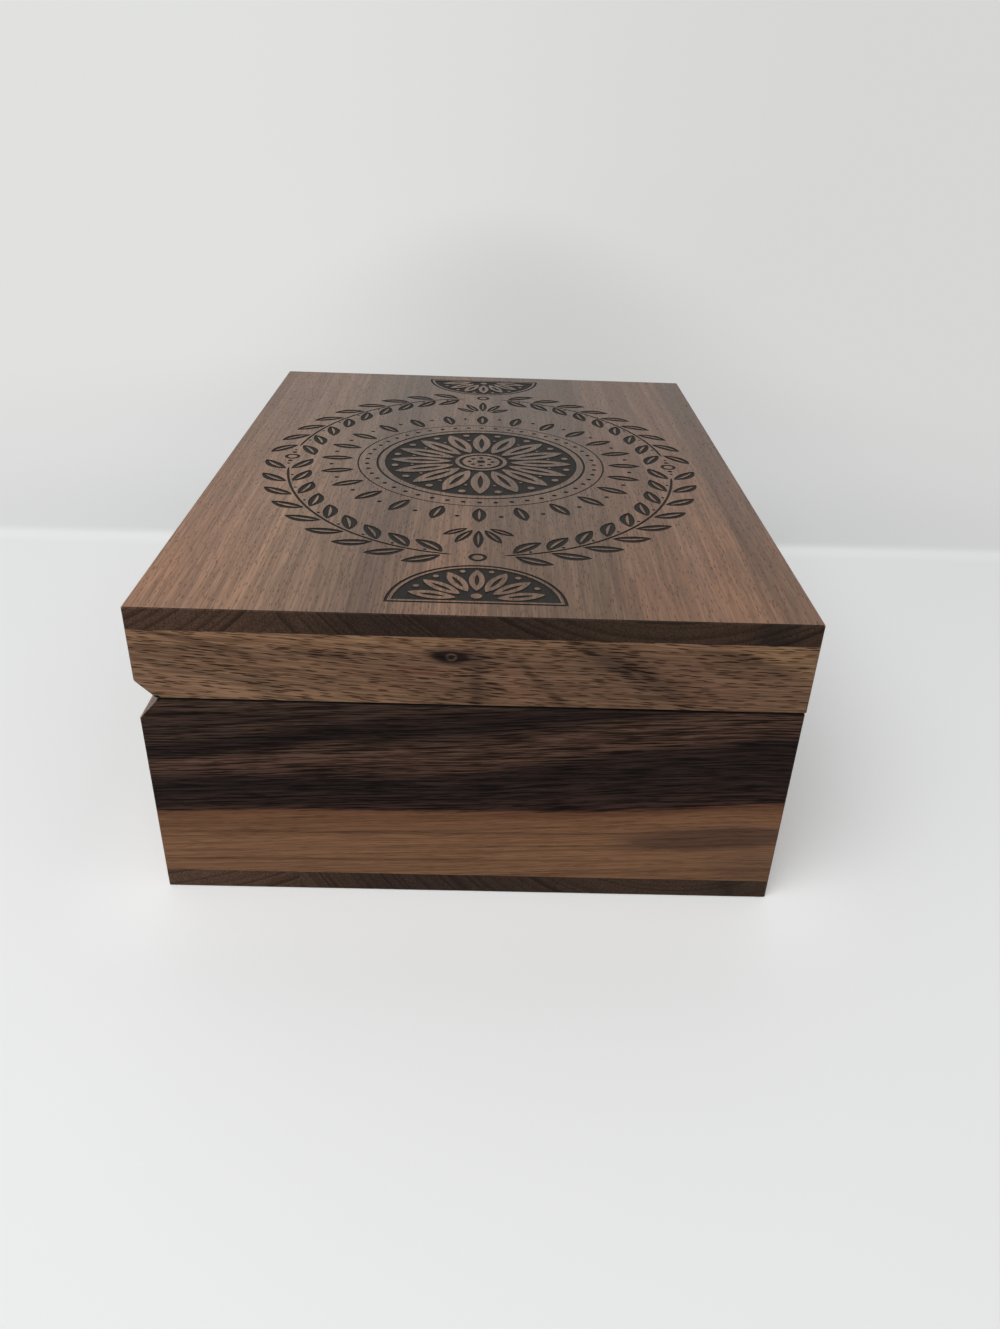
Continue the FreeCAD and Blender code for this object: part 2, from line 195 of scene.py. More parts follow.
studio = {
    "floorColour": (239, 240, 240),
    "skyColour": (221, 222, 220),
    "farLine": 148.0,  # where the flat floor behind the box stands for the backdrop, along x
    "lineSlope": 0.012,
    "mottleWave": 240.0,
    # each tone is (from, to, tone at from, tone at to), mostly in millimetres on the floor
    "mottleTone": (0.0, 1.0, 0.985, 1.015),
    "nearPaintedShade": (-250.0, -110.0, 0.965, 1.0),  # painted shade: the floor darkens towards the near side, along x
    "rightPaintedShade": (-200.0, 100.0, 0.975, 1.0),  # painted shade: the floor darkens towards -y, along y
    "paintedLightBesideFoot": (0.0, 40.0, 1.075, 1.0),  # painted light: the floor is lighter close to the box's foot, to lighten the shade there
    "paintedFoldShade": (5.0, 160.0, -0.07, 0.0),  # painted shade past the line, standing in for the shaded backdrop
    "paintedFoldHighlight": (1.0, 11.0, 0.045, 0.0),  # painted highlight: a pale edge just before the line
    # painted shade: the floor past the line is a little darker
    "pastLinePaintedShade": -0.03,
    "paintedSideLight": (-0.32, 0.27, 0.935, 1.04),  # painted light: the backdrop is darker to one side and lighter to the other, by how far to the side one looks
    "boxShade": {"centre": (450.0, -30.0, 0.0), "size": (1650.0, 310.0, 1.0), "depth": 0.15},
    "farFade": (190.0, 620.0),  # how far off the floor past the line turns into backdrop
    "wideFade": (600.0, 1500.0),  # and the floor all round
    "floorRadius": 3.0,
    "ambient": 0.44,
    "lampPlace": (-0.85, 0.36, 1.35),
    "lampAim": (0.0, 0.0, 0.05),
    "lampSize": 1.5,
    "lampPower": 18.5,
}


def seenDirectly(tree):
    rays = addNode(tree, "LightPath").outputs
    seen = calc(tree, "MAXIMUM", rays["Is Camera Ray"], rays["Is Glossy Ray"])
    return calc(tree, "MAXIMUM", seen, rays["Is Transmission Ray"])


def makeWorld():
    world = bpy.data.worlds.new("studio")
    bpy.context.scene.world = world
    world.use_nodes = True
    tree = world.node_tree
    tree.nodes.clear()
    light = addNode(tree, "Background", {"Color": (1, 1, 1, 1), "Strength": studio["ambient"]})
    way = splitParts(tree, addNode(tree, "TexCoord").outputs["Object"])
    # painted light: the backdrop is darker to one side
    side = spread(tree, way[1], *studio["paintedSideLight"])
    colour = calcVector(tree, "SCALE", fromScreen(studio["skyColour"])[:3], scale=side)
    shown = addNode(tree, "Background", {"Color": colour, "Strength": 1.0})
    both = {0: seenDirectly(tree), 1: light.outputs[0], 2: shown.outputs[0]}
    addNode(tree, "OutputWorld", {"Surface": addNode(tree, "MixShader", both).outputs[0]})


def floorTone(tree, place, parts, line, far):
    mottle = noise(tree, place, (studio["mottleWave"],) * 3, detail=3.0).outputs[0]
    tone = spread(tree, mottle, *studio["mottleTone"], smooth=False)
    # painted shade past the line
    tone = calc(tree, "MULTIPLY_ADD", far, studio["pastLinePaintedShade"], tone)
    tone = calc(tree, "MULTIPLY_ADD", far, spread(tree, line, *studio["paintedFoldShade"]), tone)
    # painted shade: darker towards the near side and towards -y
    tone = calc(tree, "MULTIPLY", tone, spread(tree, parts[0], *studio["nearPaintedShade"]))
    tone = calc(tree, "MULTIPLY", tone, spread(tree, parts[1], *studio["rightPaintedShade"]))
    # painted light close to the box's foot
    half = (1000 * cadBox[1][0], 1000 * cadBox[1][1], 0.0)
    beside = calcVector(tree, "SUBTRACT", calcVector(tree, "ABSOLUTE", place), half)
    beside = calcVector(tree, "LENGTH", calcVector(tree, "MAXIMUM", beside, (0.0, 0.0, 0.0)))
    tone = calc(tree, "MULTIPLY", tone, spread(tree, beside, *studio["paintedLightBesideFoot"]))
    # painted highlight along the line
    edge = calc(tree, "ABSOLUTE", calc(tree, "ADD", line, 7.0))
    return calc(tree, "ADD", tone, spread(tree, edge, *studio["paintedFoldHighlight"]))


def shadeBehind(tree, place, far):
    # the backdrop is a little darker close behind the box
    shade = studio["boxShade"]
    off = calcVector(tree, "SUBTRACT", place, shade["centre"])
    off = calcVector(tree, "LENGTH", calcVector(tree, "DIVIDE", off, shade["size"]))
    behind = calc(tree, "MULTIPLY", spread(tree, off, 0.0, 1.0, shade["depth"], 0.0), far)
    return calc(tree, "SUBTRACT", 1.0, behind)


def makeFloorMaterial():
    material, tree, output = newMaterial("paleFloor")
    place = millimetres(tree)
    parts = splitParts(tree, place)
    line = calc(tree, "MULTIPLY_ADD", parts[1], studio["lineSlope"], parts[0])
    line = calc(tree, "SUBTRACT", line, studio["farLine"])
    far = spread(tree, line, -5.0, 8.0)
    behind = shadeBehind(tree, place, far)
    tone = calc(tree, "MULTIPLY", floorTone(tree, place, parts, line, far), behind)
    colour = calcVector(tree, "SCALE", fromScreen(studio["floorColour"])[:3], scale=tone)
    floor = {"Base Color": colour, "Roughness": 0.6, "Specular IOR Level": 0.25}
    floor = addNode(tree, "BsdfPrincipled", floor)
    # far away the floor takes the backdrop's tone, so that no horizon shows
    away = calcVector(tree, "LENGTH", place)
    # painted light: the same side-to-side tone on the far floor
    side = spread(tree, calc(tree, "DIVIDE", parts[1], away), *studio["paintedSideLight"])
    side = calc(tree, "MULTIPLY", side, behind)
    colour = calcVector(tree, "SCALE", fromScreen(studio["skyColour"])[:3], scale=side)
    shown = addNode(tree, "Emission", {"Color": colour, "Strength": 1.0})
    fade = calc(tree, "MULTIPLY", spread(tree, away, *studio["farFade"]), far)
    fade = calc(tree, "MAXIMUM", fade, spread(tree, away, *studio["wideFade"]))
    fade = calc(tree, "MULTIPLY", fade, seenDirectly(tree))
    both = addNode(tree, "MixShader", {0: fade, 1: floor.outputs[0], 2: shown.outputs[0]})
    tree.links.new(both.outputs[0], output.inputs["Surface"])
    return material


def makeStudio():
    makeWorld()
    mesh = bpy.data.meshes.new("floor")
    bm = bmesh.new()
    bmesh.ops.create_circle(bm, cap_ends=True, radius=studio["floorRadius"], segments=96)
    bm.to_mesh(mesh)
    bm.free()
    floor = bpy.data.objects.new("floor", mesh)
    bpy.context.scene.collection.objects.link(floor)
    floor.data.materials.append(makeFloorMaterial())
    data = bpy.data.lights.new("softBox", "AREA")
    data.shape = "DISK"
    data.size = studio["lampSize"]
    data.energy = studio["lampPower"]
    lamp = bpy.data.objects.new("softBox", data)
    bpy.context.scene.collection.objects.link(lamp)
    lamp.location = studio["lampPlace"]
    aim = Vector(studio["lampAim"]) - Vector(studio["lampPlace"])
    lamp.rotation_euler = aim.to_track_quat("-Z", "Y").to_euler()


makeStudio()
print("studio made")


# shared effects of the wood

grainShape = {
    "driftWave": (230, 60, 60),
    "streakWave": (210, 3.4, 3.4),
    "fibreLength": 34.0,  # times the fibre's width
    "fibreSpread": (0.4, 0.6),
    "ringStretch": 0.012,  # how fast the rings taper along the board
    "lateWood": (0.25, 0.9),  # where in a ring it darkens
    "ringEnd": (0.92, 1.0),
    "roughness": 0.36,
}


def makeWalnutGrain():
    # Rings, fibre and pores on a board. Board is in millimetres: x along the grain, y across the
    # face, z its depth.
    shape = grainShape
    tree, given, out = newGroup(
        "walnutGrain",
        {
            "Board": (0.0, 0.0, 0.0),
            "Colour": (0.2, 0.12, 0.08, 1.0),
            "Pith": (0.0, 0.0, 120.0),
            "Ring Spacing": 1.3,
            "Drift": 5.0,
            "Ring Depth": 0.3,
            "Streak Depth": 0.35,
            "Fibre Depth": 0.35,
            "Fibre Width": 0.45,
            "Pore Depth": 0.6,
            "Pore Length": 5.0,
            "Pore Width": 0.6,
            "Pore Reach": 0.36,
        },
        {"Colour": "Color", "Roughness": "Float", "Height": "Float"},
    )
    board = given["Board"]
    drift = noise(tree, board, shape["driftWave"]).outputs["Color"]
    drift = calcVector(tree, "SUBTRACT", drift, (0.5, 0.5, 0.5))
    drift = calcVector(tree, "MULTIPLY", drift, (0.0, 1.0, 1.0))
    drift = calcVector(tree, "SCALE", drift, scale=given["Drift"])
    grain = calcVector(tree, "ADD", board, drift)
    # growth rings are shells round the pith
    off = calcVector(tree, "SUBTRACT", grain, given["Pith"])
    off = calcVector(tree, "MULTIPLY", off, (shape["ringStretch"], 1.0, 1.0))
    far = calcVector(tree, "LENGTH", off)
    count = calc(tree, "DIVIDE", far, given["Ring Spacing"])
    uneven = {"W": calc(tree, "MULTIPLY", far, 0.13), "Scale": 1.0}
    uneven = addNode(tree, "TexNoise", uneven, noise_dimensions="1D").outputs[0]
    count = calc(tree, "MULTIPLY_ADD", uneven, 3.0, count)
    phase = calc(tree, "FRACT", count)
    late = spread(tree, phase, *shape["lateWood"])
    close = spread(tree, phase, *shape["ringEnd"], 1.0, 0.0)
    late = calc(tree, "MULTIPLY", late, close)
    own = {"W": calc(tree, "FLOOR", count)}
    own = addNode(tree, "TexWhiteNoise", own, noise_dimensions="1D").outputs["Value"]
    rings = calc(tree, "MULTIPLY", late, calc(tree, "MULTIPLY_ADD", own, 0.8, 0.2))
    width = given["Fibre Width"]
    length = calc(tree, "MULTIPLY", width, shape["fibreLength"])
    size = joinParts(tree, length, width, width)
    threads = {"Vector": calcVector(tree, "DIVIDE", grain, size), "Scale": 1.0}
    threads.update({"Detail": 2.0, "Roughness": 0.7})
    fibre = addNode(tree, "TexNoise", threads, noise_dimensions="3D").outputs[0]
    fibre = spread(tree, fibre, *shape["fibreSpread"], smooth=False)
    streaks = noise(tree, grain, shape["streakWave"], detail=3.0, roughness=0.6, offset=(31, 7, 3))
    # pores are long cells, seen as dashes on a face and dots on an end, most in each ring's start
    width = given["Pore Width"]
    size = joinParts(tree, given["Pore Length"], width, width)
    cells = {"Vector": calcVector(tree, "DIVIDE", grain, size), "Scale": 1.0, "Randomness": 1.0}
    near = addNode(tree, "TexVoronoi", cells).outputs["Distance"]
    reach = calc(tree, "MULTIPLY_ADD", phase, -0.08, given["Pore Reach"])
    pores = spread(tree, near, calc(tree, "MULTIPLY", reach, 0.55), reach, 1.0, 0.0)
    shade = calc(tree, "MULTIPLY", rings, given["Ring Depth"])
    shade = calc(tree, "SUBTRACT", 1.0, shade)
    for marks, depth in ((streaks.outputs[0], "Streak Depth"), (fibre, "Fibre Depth")):
        wave = calc(tree, "MULTIPLY_ADD", marks, 2.0, -1.0)
        wave = calc(tree, "MULTIPLY_ADD", wave, given[depth], 1.0)
        shade = calc(tree, "MULTIPLY", shade, wave)
    hole = calc(tree, "MULTIPLY", pores, given["Pore Depth"])
    shade = calc(tree, "MULTIPLY", shade, calc(tree, "SUBTRACT", 1.0, hole))
    # the darker the wood, the redder: blue and green fall faster than red
    red = calc(tree, "POWER", shade, 0.92)
    blue = calc(tree, "POWER", shade, 1.06)
    colour = calcVector(tree, "MULTIPLY", given["Colour"], joinParts(tree, red, shade, blue))
    tree.links.new(colour, out.inputs["Colour"])
    rough = calc(tree, "MULTIPLY_ADD", pores, 0.22, shape["roughness"])
    rough = calc(tree, "MULTIPLY_ADD", fibre, 0.12, rough)
    tree.links.new(rough, out.inputs["Roughness"])
    height = calc(tree, "MULTIPLY_ADD", pores, -1.0, fibre)
    tree.links.new(height, out.inputs["Height"])
    return tree


def makeWoodPatch():
    # an oval patch on a board's face, 1 inside and 0 outside, with a ragged edge along the grain
    tree, given, out = newGroup(
        "woodPatch",
        {
            "Board": (0.0, 0.0, 0.0),
            "Centre": (0.0, 0.0, 0.0),
            "Size": (10.0, 4.0, 30.0),
            "Turn": 0.0,
            "Edge": 0.4,
            "Ragged": 0.2,
        },
        {"Mask": "Float"},
    )
    off = calcVector(tree, "SUBTRACT", given["Board"], given["Centre"])
    turn = {"Vector": off, "Angle": given["Turn"]}
    turned = addNode(tree, "VectorRotate", turn, rotation_type="Z_AXIS").outputs[0]
    far = calcVector(tree, "LENGTH", calcVector(tree, "DIVIDE", turned, given["Size"]))
    rough = noise(tree, given["Board"], (24, 1.6, 6), detail=3.0).outputs[0]
    rough = calc(tree, "MULTIPLY_ADD", rough, 2.0, -1.0)
    far = calc(tree, "MULTIPLY_ADD", rough, given["Ragged"], far)
    outer = calc(tree, "ADD", 1.0, given["Edge"])
    inner = calc(tree, "SUBTRACT", 1.0, given["Edge"])
    tree.links.new(spread(tree, far, inner, outer, 1.0, 0.0), out.inputs["Mask"])
    return tree


walnutGrain = makeWalnutGrain()
woodPatch = makeWoodPatch()
print("shared wood effects made")


# boards: each material reads Object coordinates, turned so that x runs along the grain, round the
# box from the left board's back end, y up the face and z into the board

boxSides = {
    "left": {"turn": 90, "start": 0.0, "outside": 119.5},
    "front": {"turn": 0, "start": 208.4, "outside": 88.9},
    "right": {"turn": -90, "start": 416.8, "outside": 119.5},
    "back": {"turn": 180, "start": 625.2, "outside": 88.9},
}


def boardPlace(tree, side=None):
    place = addNode(tree, "TexCoord").outputs["Object"]
    mapping = addNode(tree, "Mapping", {"Vector": place, "Scale": (1000, 1000, 1000)})
    if side:
        spot = boxSides[side]
        turn = Matrix.Rotation(math.radians(spot["turn"]), 3, "Z")
        turn = Matrix.Rotation(math.radians(-90), 3, "X") @ turn
        mapping.inputs["Rotation"].default_value = turn.to_euler("XYZ")
        mapping.inputs["Location"].default_value = (spot["start"], 0, -spot["outside"])
    return mapping.outputs[0]


def rampOver(tree, value, stops, lift):
    # stops are (millimetres, screen colour)
    low, high = stops[0][0], stops[-1][0]
    along = spread(tree, value, low, high, smooth=False)
    ramp = addNode(tree, "ValToRGB", {0: along})
    bar = ramp.color_ramp
    while len(bar.elements) > 1:
        bar.elements.remove(bar.elements[-1])
    for index, (place, colour) in enumerate(stops):
        at = (place - low) / (high - low)
        stop = bar.elements[0] if index == 0 else bar.elements.new(at)
        stop.position = at
        stop.color = fromScreen(colour, lift)
    return ramp.outputs[0]


def curveOver(tree, value, points, bottom, top):
    # a smooth line through points of (millimetres along, value), all between bottom and top
    low, high = points[0][0], points[-1][0]
    along = spread(tree, value, low, high, smooth=False)
    node = addNode(tree, "FloatCurve", {"Value": along})
    line = node.mapping.curves[0]
    spots = [((x - low) / (high - low), (y - bottom) / (top - bottom)) for x, y in points]
    line.points[0].location = spots[0]
    line.points[1].location = spots[-1]
    for spot in spots[1:-1]:
        line.points.new(*spot)
    node.mapping.update()
    return spread(tree, node.outputs[0], 0.0, 1.0, bottom, top, smooth=False)


def wanderOver(tree, board, wave, reach, detail):
    # a drift of up to half the reach either way, in millimetres
    drift = noise(tree, board, wave, detail=detail, roughness=0.6).outputs[0]
    return calc(tree, "MULTIPLY_ADD", drift, reach, -reach / 2)


def onePatch(tree, board, x, y, length, width, turn, edge):
    values = {"Board": board, "Centre": (x, y, 0.0), "Size": (length, width, 400.0)}
    values.update({"Turn": math.radians(-turn), "Edge": edge})
    return useGroup(tree, woodPatch, values)["Mask"]


def shadePatches(tree, board, colour, patches, lift):
    # each patch is (x, y, half length, half width, degrees, strength, edge, screen colour)
    for x, y, length, width, turn, strength, edge, tone in patches:
        mask = onePatch(tree, board, x, y, length, width, turn, edge)
        mask = calc(tree, "MULTIPLY", mask, strength)
        colour = mixColours(tree, mask, colour, fromScreen(tone, lift))
    return colour


def patchMask(tree, board, patches):
    total = 0.0
    for x, y, length, width, turn, strength, edge in patches:
        mask = onePatch(tree, board, x, y, length, width, turn, edge)
        total = calc(tree, "MULTIPLY_ADD", mask, strength, total, clamp=True)
    return total


# the seam's height, and the depth of its painted shade
seam = {"height": 65.53, "clear": 0.3, "dark": 0.9}

# where the vee's painted highlight lies, and its colour
veeHighlight = {
    "depth": 5.5,
    "drop": 6.3,
    "start": 88.9 / 5.5 + 59.1 / 6.3,
    "strength": 0.75,
    "colour": (132, 108, 94),
}


def paintedSeamShade(tree, parts):
    # painted shade: the seam's edges are darkened, as in the shadow of the gap, on the outside only
    level = calc(tree, "ABSOLUTE", calc(tree, "SUBTRACT", parts[1], seam["height"]))
    near = spread(tree, level, seam["clear"], seam["clear"] + 0.2, 1.0, 0.0)
    outside = spread(tree, parts[2], -0.5, -0.3)
    both = calc(tree, "MULTIPLY", near, outside)
    return calc(tree, "MULTIPLY_ADD", both, -seam["dark"], 1.0)


def paintedVeeHighlight(tree):
    # painted highlight: the base's face of the vee is painted paler, as where it catches the light
    place = splitParts(tree, boardPlace(tree))
    off = calc(tree, "DIVIDE", place[1], veeHighlight["depth"])
    off = calc(tree, "ADD", off, calc(tree, "DIVIDE", place[2], veeHighlight["drop"]))
    off = calc(tree, "ABSOLUTE", calc(tree, "SUBTRACT", off, veeHighlight["start"]))
    return spread(tree, off, 0.03, 0.06, veeHighlight["strength"], 0.0)


def finishWood(tree, output, board, colour, look, more):
    grain = useGroup(tree, walnutGrain, {"Board": board, "Colour": colour, **look["grain"], **more})
    values = {"Base Color": grain["Colour"], "Roughness": grain["Roughness"]}
    values["Specular IOR Level"] = look["gloss"]
    addSurface(tree, output, values, grain["Height"], look["bump"], 0.00012)


def between(tree, mask, depths):
    # each depth runs from its first value to its second as the mask goes from 0 to 1
    return {name: spread(tree, mask, 0, 1, *ends, smooth=False) for name, ends in depths.items()}


baseLines = ("edgeLine", "lowerLine", "upperLine")

# how far the bands wander is (wave, reach, detail)

baseWood = {
    "lift": 1.1,
    "gloss": 0.06,
    "bump": 0.35,
    "wander": ((120, 5, 14), 4.0, 4.0),
    # height of the line where the dark heartwood meets the tan wood, round the box
    "edgeLine": [
        (-89, 28.0), (-54, 29.4), (-4, 30.2), (33, 31.0), (52, 32.1), (77, 34.2), (89, 35.0),
        (170, 34.0), (260, 27.0), (330, 24.0), (420, 28.0), (510, 33.0), (620, 26.0),
        (700, 24.5), (746, 28.0),
    ],
    # the tops of the lower dark band and of the brown band over it
    "lowerLine": [
        (-89, 39.0), (-49, 40.8), (-12, 40.6), (8, 44.2), (37, 49.8), (72, 54.6), (89, 57.4),
        (200, 55.0), (330, 36.0), (430, 44.0), (520, 54.0), (640, 40.0), (746, 39.0),
    ],
    "upperLine": [
        (-89, 46.8), (-63, 50.0), (-35, 54.5), (-6, 57.0), (22, 61.5), (60, 67.0), (89, 70.0),
        (200, 66.0), (330, 50.0), (430, 56.0), (520, 66.0), (640, 53.0), (746, 46.8),
    ],
    "steps": (11.0, 9.0),  # levels from the edge to the lower line, and on to the upper line
    "bands": [
        (-30, (100, 71, 51)), (-22, (104, 75, 54)), (-14, (110, 79, 57)), (-8, (104, 74, 53)),
        (-3, (103, 72, 51)), (-0.4, (92, 61, 43)), (0.4, (42, 27, 22)), (3, (34, 22, 18)),
        (8.5, (29, 19, 16)), (11, (36, 24, 20)), (12.5, (58, 40, 32)), (16, (62, 44, 35)),
        (18.5, (54, 38, 30)), (20, (30, 20, 17)), (22.5, (28, 18, 15)), (24.5, (44, 31, 25)),
        (27, (52, 37, 30)), (30, (44, 31, 25)), (36, (54, 39, 31)),
    ],
    "patches": [
        (-2, 59.5, 34, 3.6, 5, 0.75, 0.4, (28, 18, 15)),
        (-58, 59.0, 30, 0.5, 8, 0.7, 0.5, (26, 17, 14)),
        (0, 60.0, 40, 4.0, 5, 0.5, 0.6, (32, 22, 18)),
        (74, 62.5, 30, 3.0, 7, 0.55, 0.5, (58, 42, 33)),
        (-66, 45.2, 40, 1.6, 3, 0.4, 0.6, (66, 45, 36)),
        # painted shadow: this near-black dot at the vee's tip stands for the shade in the gap there
        (-83.4, 65.4, 0.9, 0.7, 0, 1.0, 0.3, (8, 6, 6)),
        (70, 22.0, 27, 4.2, 4, 0.75, 0.35, (60, 43, 36)),
        (84, 12.0, 14, 6.0, 3, 0.4, 0.5, (72, 52, 42)),
        (-62, 26.3, 26, 0.35, 2, 0.4, 0.5, (70, 46, 32)),
        (-20, 22.0, 70, 0.5, 1, 0.5, 0.5, (68, 46, 32)),
        (10, 17.6, 50, 0.4, 2, 0.4, 0.5, (68, 46, 32)),
        (-25, 11.8, 60, 0.5, 1, 0.5, 0.5, (68, 46, 32)),
        (45, 9.6, 36, 0.4, 3, 0.35, 0.5, (68, 46, 32)),
    ],
    "grain": {
        "Pith": (0.0, -70.0, 75.0),
        "Ring Spacing": 1.5,
        "Drift": 3.5,
        "Ring Depth": 0.3,
        "Fibre Width": 0.5,
        "Pore Length": 7.0,
        "Pore Width": 0.55,
        "Pore Reach": 0.38,
    },
    # depths in the tan wood and in the dark wood
    "depths": {
        "Fibre Depth": (0.18, 0.85),
        "Streak Depth": (0.18, 0.45),
        "Pore Depth": (0.28, 0.55),
    },
}

lidWood = {
    "lift": 1.1,
    "gloss": 0.07,
    "bump": 0.4,
    "wander": ((70, 5, 14), 7.0, 3.0),
    "flow": [
        (-89, 7.0), (-50, 3.8), (-10, 1.0), (30, -0.4), (89, -2.0), (200, 1.0), (330, 2.5),
        (430, 0.5), (520, -1.0), (640, 3.5), (746, 7.0),
    ],
    "bands": [
        (62, (100, 76, 58)), (68, (108, 82, 62)), (72, (102, 77, 59)), (76, (106, 80, 61)),
        (80, (98, 74, 57)), (84, (116, 88, 66)), (90, (110, 84, 64)),
    ],
    "patches": [
        (45, 73, 60, 16.0, 0, 0.4, 0.6, (78, 57, 46)),
        (-70, 70.5, 18, 5.0, -14, 0.45, 0.5, (126, 98, 76)),
        (12, 71.5, 9, 4.0, -30, 0.35, 0.5, (116, 84, 66)),
        (60, 72, 16, 5.0, -20, 0.2, 0.6, (112, 78, 62)),
        (82, 82, 14, 3.4, -24, 0.5, 0.5, (124, 97, 70)),
        (-72, 83.2, 17, 0.9, -14, 0.5, 0.5, (60, 43, 34)),
        (-82, 76.2, 9, 0.8, -18, 0.4, 0.5, (60, 43, 34)),
        (-67, 73.2, 9, 0.8, -10, 0.45, 0.5, (60, 43, 34)),
        (-54.5, 70.5, 5.0, 3.0, -40, 0.35, 0.8, (66, 52, 42)),
        (-40, 80.5, 9, 0.9, -4, 0.5, 0.6, (56, 41, 33)),
        (0.7, 74, 1.5, 9.5, 0, 0.5, 0.8, (56, 42, 35)),
        (1.5, 74, 5.5, 10.5, 0, 0.25, 0.8, (62, 47, 38)),
        (40, 78.0, 17, 2.2, -28, 0.6, 0.7, (56, 42, 34)),
        (44, 76.5, 20, 5.0, -28, 0.3, 0.8, (60, 46, 37)),
        (19.5, 71, 7.5, 1.1, -43, 0.45, 0.7, (58, 43, 35)),
        (12, 80, 6, 1.0, -58, 0.35, 0.7, (60, 45, 36)),
        (68, 82, 12, 1.6, -14, 0.4, 0.7, (58, 44, 35)),
        # painted shadow: this near-black dot at the vee's tip stands for the shade in the gap there
        (-83.4, 65.9, 0.9, 0.7, 0, 1.0, 0.3, (8, 6, 6)),
        (-14.5, 76.1, 7.0, 1.1, 0, 0.5, 0.6, (84, 48, 38)),
        (-6.0, 80.4, 7.0, 2.4, -3, 0.6, 0.35, (52, 36, 29)),
        (-6.3, 80.4, 4.8, 1.75, -3, 1.0, 0.25, (24, 16, 14)),
        (-5.9, 80.3, 1.5, 1.15, 0, 0.9, 0.25, (74, 56, 48)),
        (-5.9, 80.3, 0.8, 0.65, 0, 1.0, 0.3, (28, 20, 18)),
    ],
    # where the pores crowd and lie darker
    "dense": [
        (-40, 80.5, 12, 1.6, -4, 1.0, 0.6),
        (1.5, 74, 6.0, 10.0, 0, 1.0, 0.6),
        (41, 77.5, 20, 4.5, -28, 1.0, 0.6),
        (-66, 75.0, 22, 2.0, -18, 0.8, 0.6),
        (18, 73, 10, 2.0, -45, 0.8, 0.6),
        (68, 82, 14, 3.0, -14, 0.8, 0.6),
    ],
    "grain": {
        "Pith": (0.0, 20.0, 80.0),
        "Ring Spacing": 2.0,
        "Drift": 4.0,
        "Ring Depth": 0.15,
        "Streak Depth": 0.25,
        "Fibre Depth": 0.34,
        "Fibre Width": 0.5,
        "Pore Length": 5.5,
        "Pore Width": 0.56,
    },
    # outside and inside the crowded places
    "depths": {"Pore Reach": (0.45, 0.56), "Pore Depth": (0.72, 0.85)},
}

topWood = {
    "lift": 0.88,
    "joint": 50.0,
    # painted sheen: the top is painted greyer towards the far end
    "patches": [(115, 0, 150, 400, 0, 0.45, 0.7, (101, 95, 91))],
    "secondPith": (0.0, 118.0, 150.0),
    "gloss": 0.2,
    "bump": 0.3,
    "wander": ((170, 9, 9), 16.0, 4.0),
    "bands": [
        (-92, (124, 93, 73)), (-86, (119, 89, 71)), (-80, (110, 82, 65)), (-75, (137, 102, 79)),
        (-70, (142, 104, 80)), (-63, (132, 98, 77)), (-46, (130, 97, 76)), (-38, (109, 84, 67)),
        (-26, (112, 88, 71)), (-12, (112, 87, 71)), (-2, (118, 91, 73)), (8, (138, 106, 85)),
        (16, (126, 97, 78)), (28, (108, 85, 71)), (40, (128, 101, 83)), (50, (137, 108, 87)),
        (60, (150, 116, 92)), (72, (147, 111, 88)), (92, (150, 110, 84)),
    ],
    "grain": {
        "Pith": (0.0, -49.0, 164.0),
        "Ring Spacing": 1.25,
        "Drift": 5.0,
        "Ring Depth": 0.2,
        "Streak Depth": 0.45,
        "Fibre Depth": 0.24,
        "Fibre Width": 0.7,
        "Pore Depth": 0.45,
        "Pore Length": 4.5,
        "Pore Width": 0.6,
        "Pore Reach": 0.33,
    },
}

endWood = {
    "lift": 1.05,
    "joint": 50.0,
    "patches": [],
    "secondPith": (0.0, 118.0, 150.0),
    "gloss": 0.08,
    "bump": 0.3,
    "wander": ((170, 9, 9), 16.0, 4.0),
    "bands": [
        (-92, (58, 42, 32)), (-84, (52, 38, 29)), (-77, (38, 27, 21)), (-70, (54, 39, 30)),
        (-40, (52, 38, 29)), (0, (45, 32, 25)), (30, (45, 32, 25)), (48, (62, 45, 35)),
        (70, (68, 49, 38)), (92, (70, 51, 40)),
    ],
    "grain": {
        "Pith": (0.0, -49.0, 164.0),
        "Ring Spacing": 2.3,
        "Drift": 2.0,
        "Ring Depth": 0.68,
        "Streak Depth": 0.25,
        "Fibre Depth": 0.26,
        "Pore Depth": 0.45,
        "Pore Length": 5.0,
        "Pore Width": 0.6,
        "Pore Reach": 0.4,
    },
}

# the bottom board's ends show bolder rings
lowEndWood = {
    **endWood,
    "lift": 1.2,
    "grain": {**endWood["grain"], "Ring Spacing": 2.8, "Ring Depth": 0.75, "Pith": (0.0, -60.0, 60.0)},
}


def bandLevel(tree, rise, edge, lower, upper):
    # millimetres below the edge, steps between the lines, then millimetres again
    over = calc(tree, "SUBTRACT", rise, edge)
    level = calc(tree, "MINIMUM", over, 0.0)
    first = calc(tree, "DIVIDE", over, calc(tree, "SUBTRACT", lower, edge), clamp=True)
    level = calc(tree, "MULTIPLY_ADD", first, baseWood["steps"][0], level)
    over = calc(tree, "SUBTRACT", rise, lower)
    second = calc(tree, "DIVIDE", over, calc(tree, "SUBTRACT", upper, lower), clamp=True)
    level = calc(tree, "MULTIPLY_ADD", second, baseWood["steps"][1], level)
    over = calc(tree, "MAXIMUM", calc(tree, "SUBTRACT", rise, upper), 0.0)
    return calc(tree, "ADD", level, over)


